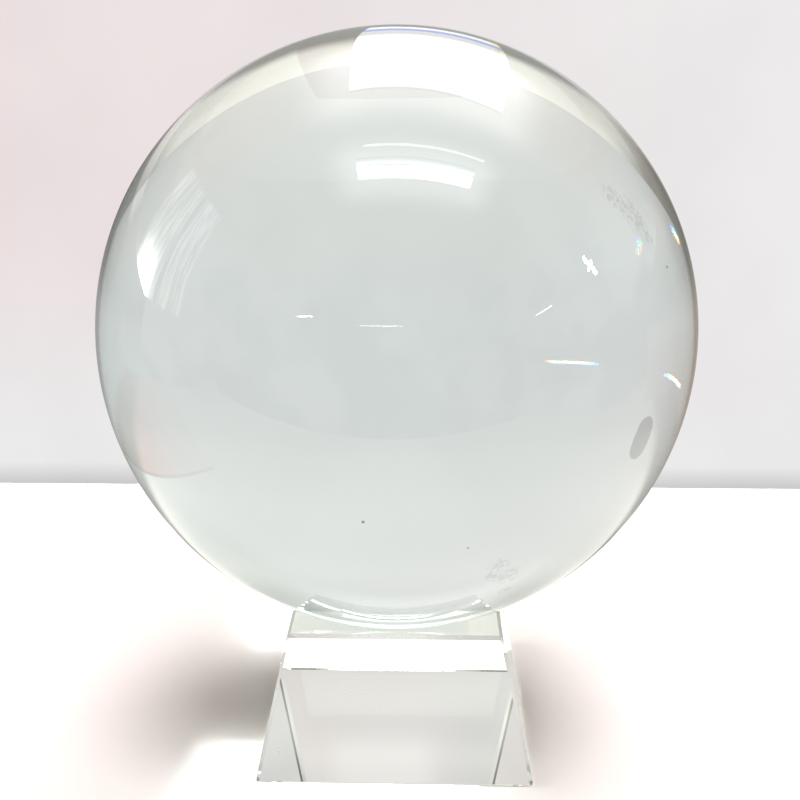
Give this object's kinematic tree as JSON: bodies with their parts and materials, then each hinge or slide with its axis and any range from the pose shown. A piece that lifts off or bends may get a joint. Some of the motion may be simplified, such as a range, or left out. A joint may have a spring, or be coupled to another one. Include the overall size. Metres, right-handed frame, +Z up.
{
  "type": "crystal ball",
  "caption": "Solid clear glass ball resting loose in a shallow round seat on top of a solid, square, tapered clear glass block with bevelled edges.",
  "frame": {"origin": "middle of the stand's underside, on the surface the stand rests on, straight below the ball's centre", "axes": "+Z up through the ball's centre, the stand's front face towards -Y, +X to the right as seen from the front"},
  "size_m": [0.2, 0.2, 0.2485],
  "materials": {
    "ball_crystal": "polished, clear, faint blue-green grey tint",
    "stand_crystal": "polished, clear, faint yellow-green tint, polished bevels"
  },
  "bodies": {
    "stand": {"stand": "stand_crystal"},
    "ball": {"ball": "ball_crystal"}
  },
  "joints": [
    {"name": "ball_lift", "type": "slide", "parent": "stand", "child": "ball", "axis": [0, 0, 1], "range_m": [0, 0.06]}
  ]
}
